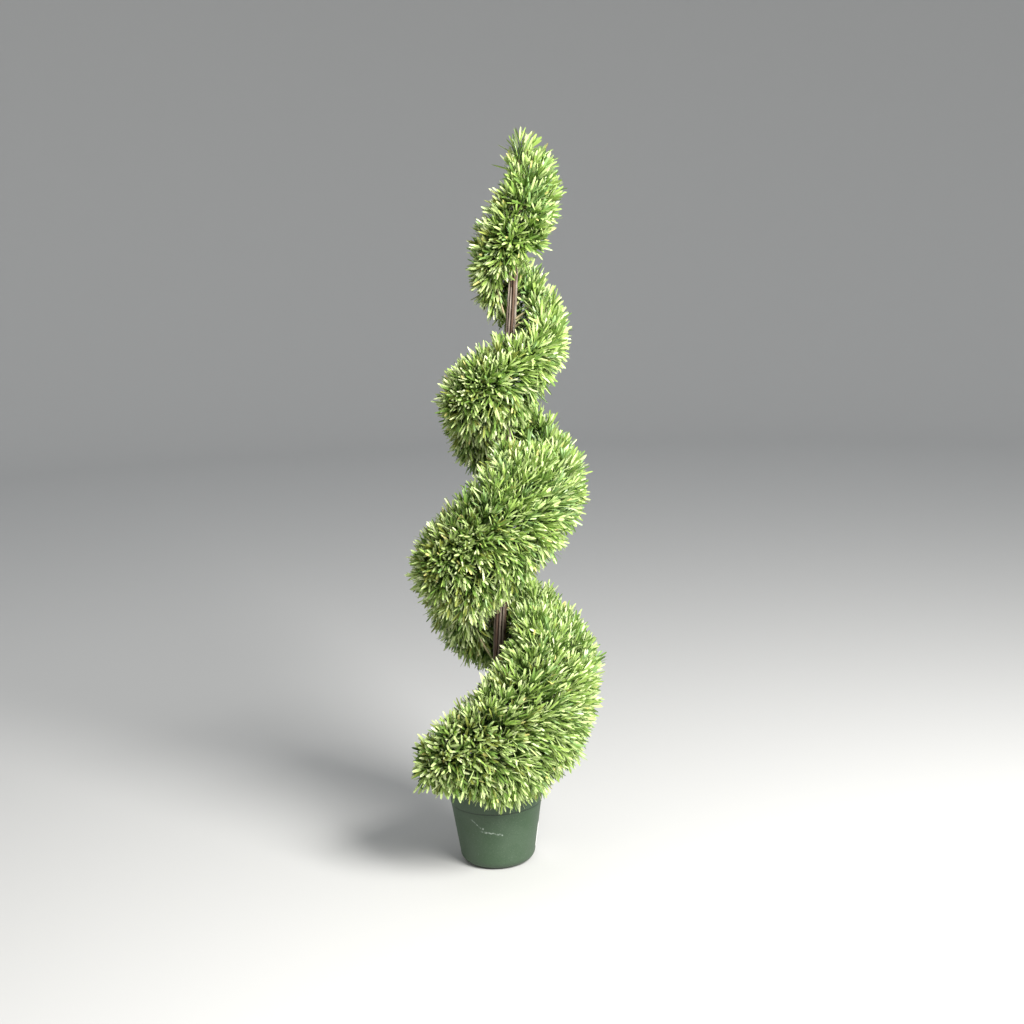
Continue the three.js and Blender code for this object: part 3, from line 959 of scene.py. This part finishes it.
class TOPIARY_OT_fill(bpy.types.Operator):
    """Casts the set fill that holds the sticks, uneven on top and drawn up a little round the bundle"""

    bl_idname = "topiary.fill"
    bl_label = "Set fill"

    def execute(self, context):
        look = context.scene.topiary_pot
        top, foot = FILL_BOX[1].z, FILL_BOX[0].z
        edge = FILL_BOX[1].x - 0.0004
        inset = look.wall + 0.0008
        collar_foot, underside = pot_lines(look)
        outline = [(0.004, foot), (underside, foot)]
        outline += arc(underside, look.foot_round, look.foot_round - inset, -90, 0, 5)
        outline += [(wall_radius(look, collar_foot) - inset - 0.001, collar_foot - 0.002)]
        outline += [(edge, top - 0.004)]
        outer = (0.995, 0.96, 0.9, 0.82, 0.74, 0.65, 0.56, 0.47, 0.38, 0.30)
        inner = (0.25, 0.21, 0.18, 0.15, 0.11, 0.06, 0.02)
        outline += [(edge * part, top - 0.0022) for part in outer]
        outline += [(edge * part, top - 0.0018) for part in inner]
        points, faces = lathe(outline, 96)
        surface = points[:, 2] > top - 0.003
        far = np.linalg.norm(points[:, :2], axis=1)
        lumps = waves(points * (170, 170, 0), 3) + 0.6 * waves(points * (420, 420, 0), 4)
        drawn_up = 0.0016 * np.exp(-(((far - 0.016) / 0.007) ** 2))
        points[surface, 2] += np.minimum(look.fill_lumps * lumps + drawn_up, 0.0021)[surface]
        fill = add_mesh("pot_fill_cast", points, faces, [fill_finish(look)])
        stand_for(fill, "fill", "pot_fill")
        return {"FINISHED"}


class TOPIARY_OT_label(bpy.types.Operator):
    """Sticks the blank label on the wall, with rounded corners and one edge a little lifted"""

    bl_idname = "topiary.label"
    bl_label = "Label"

    def execute(self, context):
        look = context.scene.topiary_pot
        points = node_points("label")
        turn = np.arctan2(points[:, 1], points[:, 0])
        low, high = points[:, 2].min(), points[:, 2].max()
        middle, corner = (low + high) / 2, look.label_corner
        radius = wall_radius(look, middle)
        half = np.array([(turn.max() - turn.min()) * radius, high - low]) / 2
        columns, rows = 26, 30
        u, v = np.meshgrid(np.linspace(-1, 1, columns), np.linspace(-1, 1, rows))
        flat = np.stack([u, v], -1) * half
        over = np.maximum(np.abs(flat) - (half - corner), 0)
        beyond = np.maximum(np.linalg.norm(over, axis=-1, keepdims=True), 1e-9)
        flat -= np.sign(flat) * over * (1 - np.minimum(corner / beyond, 1))
        height = middle + flat[..., 1]
        bearing = (turn.max() + turn.min()) / 2 + flat[..., 0] / radius
        lift = 0.0006 * np.clip(u - 0.80, 0, 1) * 5 + 0.00012 * np.sin(9 * u) * np.cos(7 * v)
        sheets = []
        for thick in (0.00030, 0.00055):
            out = wall_radius(look, height) + thick + np.clip(lift, 0, 1)
            sheets.append(polar(out, bearing, height).reshape(-1, 3))
        index = np.arange(rows * columns).reshape(rows, columns)
        face = np.stack([index[:-1, :-1], index[:-1, 1:], index[1:, 1:], index[1:, :-1]], -1).reshape(-1, 4)
        rim = np.concatenate([index[0, :-1], index[:-1, -1], index[-1, :0:-1], index[:0:-1, 0]])
        after = np.roll(rim, -1)
        edge = np.stack([rim, after, after + rows * columns, rim + rows * columns], -1)
        faces = [face[:, ::-1], face + rows * columns, edge]
        label = add_mesh("label_blank", np.concatenate(sheets), faces, [paper_finish(look)])
        stand_for(label, "label", "label")
        return {"FINISHED"}


def rod(name, seed, slim, steps, sides, relief, knots):
    """A stick's path, radii and relief, from its solid's rings."""
    heights, middles, radii = rings(name)
    height = np.linspace(heights[0], heights[-1], steps)
    path = np.stack([*(np.interp(height, heights, line) for line in middles.T), height], -1)
    radius = np.interp(height, heights, radii)
    rng = np.random.default_rng(seed)
    part = np.linspace(0, 1, steps)
    for knot in rng.uniform(0.03, 0.97, 5):
        radius = radius * (1 + knots * rng.uniform(0.3, 1) * np.exp(-(((part - knot) / 0.006) ** 2)))
    turn = TURN * np.arange(sides) / sides
    bark = polar(1.0, turn, height[:, None] * 14)
    ridges = waves(bark * (2.6, 2.6, 1), seed + 1, 7) + 0.5 * waves(bark * (5.5, 5.5, 3), seed + 2, 7)
    taper = np.ones(steps)
    taper[-3:] = (0.9, 0.7, 0.35)
    return path, radius * taper * (1 - relief) * slim, 1 + relief * ridges


class TOPIARY_OT_trunk(bpy.types.Operator):
    """Grows the thick stick and the thin sticks bound round it, with bark's relief"""

    bl_idname = "topiary.trunk"
    bl_label = "Trunk"

    def execute(self, context):
        look = context.scene.topiary_trunk
        core = self.bundle("core_bark_stick", ["trunk_core"], look.core_steps, 18, look, 60, [1.0])
        # Each set holds painted shade for the bark's grooves and painted highlight for its ridges.
        brown = look.groove_shade, look.core_bark, look.core_ridge_highlight
        pale = look.groove_shade, look.stick_bark, look.stick_ridge_highlight
        core.data.materials.append(bark_finish("core_bark", *brown, 420, 0.0007))
        stand_for(core, "core_wood", "trunk_core")
        full = np.arange(len(STICKS)) % 3 == 2
        slim = np.where(full, 1.0, look.slim)
        thin = self.bundle("thin_bark_sticks", STICKS, look.stick_steps, 12, look, 80, slim)
        thin.data.materials.append(bark_finish("stick_bark", *pale, 700, 0.0006))
        thin.data.materials.append(bark_finish("stick_bark_brown", *brown, 500, 0.0006))
        sides = [face for face in thin.data.polygons if face.loop_total == 4]
        for i, face in enumerate(sides):
            face.material_index = int(full[i * len(STICKS) // len(sides)])
        stand_for(thin, "stick_wood", *STICKS)
        return {"FINISHED"}

    def bundle(self, name, nodes, steps, sides, look, seed, slim):
        """One mesh of several sticks, each as slim as its share of its solid's radius."""
        seeds = range(seed, seed + 3 * len(nodes), 3)
        rods = [rod(*one, steps, sides, look.relief, look.knots) for one in zip(nodes, seeds, slim)]
        paths, radii, relief = (np.stack(part) for part in zip(*rods))
        points, quads, index = tubes(paths, radii, sides, relief)
        return add_mesh(name, points, [quads.reshape(-1, 4), index[:, 0, ::-1], index[:, -1]], [])


class TOPIARY_OT_boughs(bpy.types.Operator):
    """Grows the boughs from the trunk into the masses of foliage"""

    bl_idname = "topiary.boughs"
    bl_label = "Boughs"

    def execute(self, context):
        look = context.scene.topiary_trunk
        paths = growth()["boughs"]
        radii = np.linspace(look.bough_foot, look.bough_tip, paths.shape[1])[None].repeat(len(paths), 0)
        points, quads, index = tubes(paths, radii, 6)
        boughs = add_mesh("boughs_grown", points, [quads.reshape(-1, 4), index[:, -1]], [bough_finish(look)])
        stand_for(boughs, "bough", *BOUGHS)
        return {"FINISHED"}


class TOPIARY_OT_twigs(bpy.types.Operator):
    """Grows a twig from its bough to the tip of each spray"""

    bl_idname = "topiary.twigs"
    bl_label = "Twigs"

    def execute(self, context):
        look = context.scene.topiary_leaves
        steps = 7
        paths = twig_paths(growth(), steps)
        radii = np.linspace(look.twig_foot, look.twig_tip, steps)[None].repeat(len(paths), 0)
        points, quads, index = tubes(paths, radii, 4)
        green = np.broadcast_to((np.arange(steps - 1) > 2)[None, :, None], quads.shape[:3])
        tones = {"twig_stem": look.twig_bark, "twig_stem_green": look.twig_green}
        finishes = [plain_finish(name, tone, 0.6, 0.4) for name, tone in tones.items()]
        tints = [green.ravel(), np.ones(len(paths))]
        twigs = add_mesh("twigs", points, [quads.reshape(-1, 4), index[:, -1]], finishes, tints)
        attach(twigs, "root")
        return {"FINISHED"}


class TOPIARY_OT_leaves(bpy.types.Operator):
    """Grows the sprays of leaves and joins them, mass by mass, into a few pieces"""

    bl_idname = "topiary.leaves"
    bl_label = "Leaves"

    def execute(self, context):
        look = context.scene.topiary_leaves
        plan = growth()
        leaves = grow_leaves(plan, look)
        foot, body, tip = deal_tints(plan, leaves)
        finishes = [plain_finish(f"leaf_{name}", getattr(look, name), 0.36, 0.60) for name in TINTS]
        mass = plan["mass"][leaves["spray"]]
        count = np.bincount(mass, minlength=len(MASSES))
        for number, group in enumerate(self.shared(count), start=1):
            kept = np.isin(mass, group)
            some = {key: value[kept] for key, value in leaves.items()}
            quads, rows, tips = leaf_corners(kept.sum())
            tone = np.stack([foot[kept], body[kept], tip[kept]], 1)
            tints = [tone[np.arange(len(rows)) // LEAF_QUADS, rows], np.repeat(tip[kept], 2)]
            points = leaf_points(some).reshape(-1, 3)
            piece = add_mesh(f"leaves_{number}", points, [quads, tips], finishes, tints)
            stand_for(piece, "foliage", *(MASSES[i] for i in group))
        return {"FINISHED"}

    def shared(self, count):
        """Masses in order, in as few groups as the size of a piece allows."""
        groups, filled = [[]], 0
        for i, leaves in enumerate(count):
            if filled + LEAF_TRIANGLES * leaves > FULL_PIECE:
                groups.append([])
                filled = 0
            groups[-1].append(i)
            filled += LEAF_TRIANGLES * leaves
        return groups


class TOPIARY_PT_panel(bpy.types.Panel):
    """Lists the pieces of the topiary"""

    bl_idname = "TOPIARY_PT_panel"
    bl_label = "Spiral Topiary"
    bl_space_type = "VIEW_3D"
    bl_region_type = "UI"
    bl_category = "Topiary"

    def draw(self, context):
        for operator in OPERATORS:
            self.layout.operator(operator.bl_idname)


GROUPS = {
    "topiary_stage": TopiaryStage,
    "topiary_pot": TopiaryPot,
    "topiary_trunk": TopiaryTrunk,
    "topiary_leaves": TopiaryLeaves,
}
OPERATORS = (
    TOPIARY_OT_stage,
    TOPIARY_OT_pot,
    TOPIARY_OT_fill,
    TOPIARY_OT_label,
    TOPIARY_OT_trunk,
    TOPIARY_OT_boughs,
    TOPIARY_OT_twigs,
    TOPIARY_OT_leaves,
)


def register():
    """Registers every class and hangs the settings on the scene."""
    for group in (*GROUPS.values(), *OPERATORS, TOPIARY_PT_panel):
        bpy.utils.register_class(group)
    for name, group in GROUPS.items():
        setattr(bpy.types.Scene, name, PointerProperty(type=group))


def unregister():
    """Takes the settings and classes away again."""
    for name in GROUPS:
        delattr(bpy.types.Scene, name)
    for group in (TOPIARY_PT_panel, *reversed(OPERATORS), *GROUPS.values()):
        bpy.utils.unregister_class(group)


def main():
    """Makes every piece in order."""
    register()
    bpy.ops.topiary.stage()
    bpy.ops.topiary.pot()
    bpy.ops.topiary.fill()
    bpy.ops.topiary.label()
    bpy.ops.topiary.trunk()
    bpy.ops.topiary.boughs()
    bpy.ops.topiary.twigs()
    bpy.ops.topiary.leaves()


if __name__ == "__main__":
    main()
